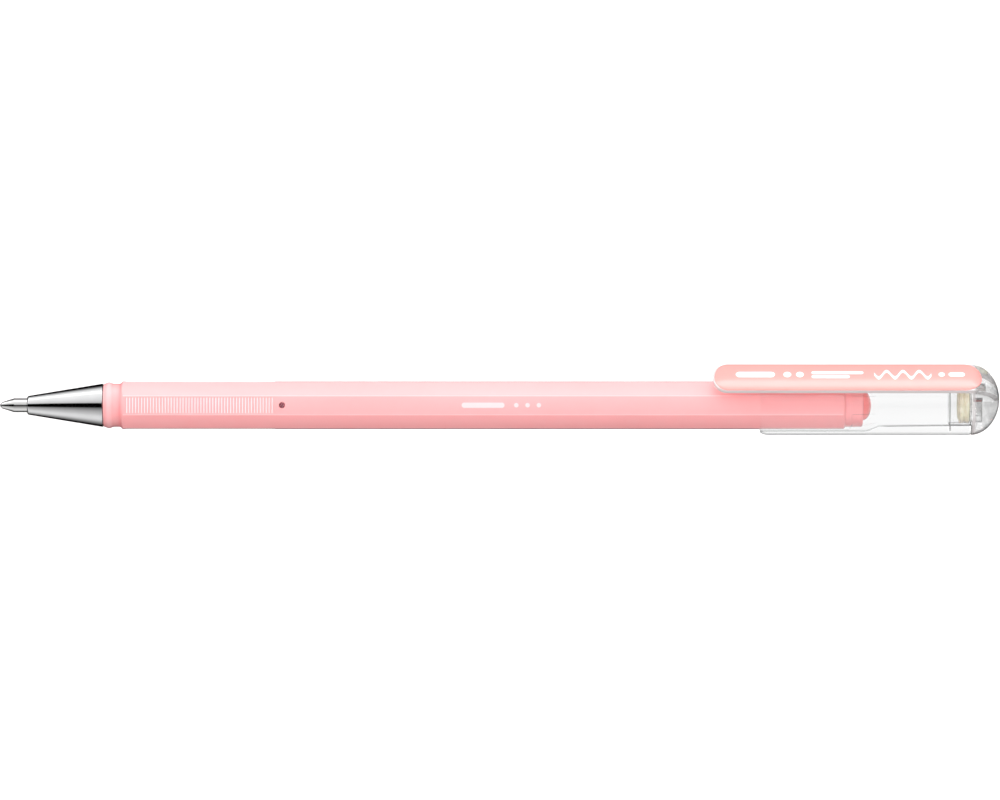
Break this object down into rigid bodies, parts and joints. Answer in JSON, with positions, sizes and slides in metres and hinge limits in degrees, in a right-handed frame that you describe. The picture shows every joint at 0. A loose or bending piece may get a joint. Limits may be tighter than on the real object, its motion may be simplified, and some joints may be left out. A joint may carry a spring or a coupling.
{
  "type": "gel pen",
  "caption": "Slim gel pen with a ribbed octagonal milky pink barrel, metal nose cone, and a clear clip cap with a pink clip plate posted on its tail.",
  "frame": {"origin": "under the middle of the pen's length with the cap posted, level with the lowest line of the cap, in the pen's plane of symmetry", "axes": "+X along the pen from the writing tip to the cap's crown, +Z to the side that the clip is on, +Y completes the right-handed set"},
  "size_m": [0.1598, 0.0094, 0.0114],
  "materials": {
    "pink_barrel": "smooth milky pink, slightly translucent",
    "pink_plug": "smooth pink, a shade deeper than the barrel",
    "clear_plastic": "polished, transparent and colourless",
    "pink_inlay": "glossy light pink with a white line print",
    "bright_metal": "turned and polished bright",
    "tip_steel": "fine turned stainless",
    "ball_carbide": "polished hard metal",
    "seal_elastomer": "matte cream",
    "refill_plastic": "natural translucent tube",
    "holder_plastic": "natural white",
    "pink_ink": "wet milky pink",
    "ink_follower": "clear pale grease"
  },
  "bodies": {
    "barrel": {"barrel": "pink_barrel", "tail_plug": "pink_plug"},
    "refill": {"refill_tube": "refill_plastic", "tip_holder": "holder_plastic", "tip_point": "tip_steel", "ink_column": "pink_ink", "ink_follower": "ink_follower"},
    "ball": {"ball": "ball_carbide"},
    "cone": {"nose_cone": "bright_metal"},
    "cap": {"cap_tube": "clear_plastic", "seal_holder": "clear_plastic", "tip_seal": "seal_elastomer", "cap_crown": "clear_plastic"},
    "clip": {"clip_arm": "clear_plastic", "clip_inlay": "pink_inlay"}
  },
  "joints": [
    {"name": "cap_pull", "type": "slide", "parent": "barrel", "child": "cap", "axis": [1, 0, 0], "range_m": [0, 0.03]},
    {"name": "refill_draw", "type": "slide", "parent": "barrel", "child": "refill", "axis": [-1, 0, 0], "range_m": [0, 0.115]},
    {"name": "cone_unscrew", "type": "slide", "parent": "refill", "child": "cone", "axis": [-1, 0, 0], "range_m": [0, 0.02]},
    {"name": "ball_roll", "type": "hinge", "parent": "refill", "child": "ball", "pos_m": [-0.0795, 0, 0.00475], "axis": [0, 1, 0], "continuous": true},
    {"name": "clip_flex", "type": "hinge", "parent": "cap", "child": "clip", "pos_m": [0.07382, 0, 0.01067], "axis": [0, 1, 0], "range_deg": [0, 3], "stiffness_Nm_per_rad": 1.9}
  ]
}
